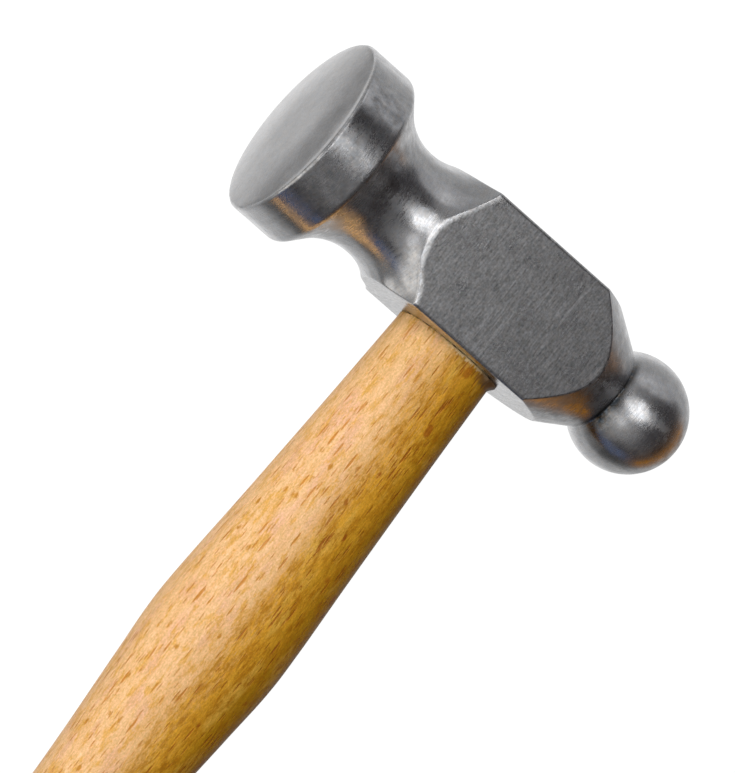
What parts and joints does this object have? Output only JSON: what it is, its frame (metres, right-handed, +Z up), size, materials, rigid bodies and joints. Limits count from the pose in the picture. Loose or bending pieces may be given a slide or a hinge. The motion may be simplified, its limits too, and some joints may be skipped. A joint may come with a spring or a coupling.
{
  "type": "ball peen hammer",
  "caption": "Small ball peen hammer: one-piece steel head with a round flat face, square cheek block and ball peen, on an oval beech handle wedged in the eye.",
  "frame": {"origin": "on the surface the hammer lies on, under the middle of its overall length and width", "axes": "+X along the handle from the head to the butt; +Y along the head from the striking face to the ball peen; +Z up, square to the cheek flats"},
  "size_m": [0.264, 0.071, 0.028],
  "materials": {
    "head_steel": "bright turned neck, face and ball, with belt-ground satin cheeks and flats",
    "beech": "oiled beech with short dark ray flecks",
    "wedge_wood": "dry sawn hardwood, darker than the handle",
    "wedge_steel": "plain rolled steel, filed flush"
  },
  "bodies": {
    "root": {"hammer_head": "head_steel", "handle": "beech", "wood_wedge": "wedge_wood", "steel_wedge_face_side": "wedge_steel", "steel_wedge_ball_side": "wedge_steel"}
  },
  "joints": []
}
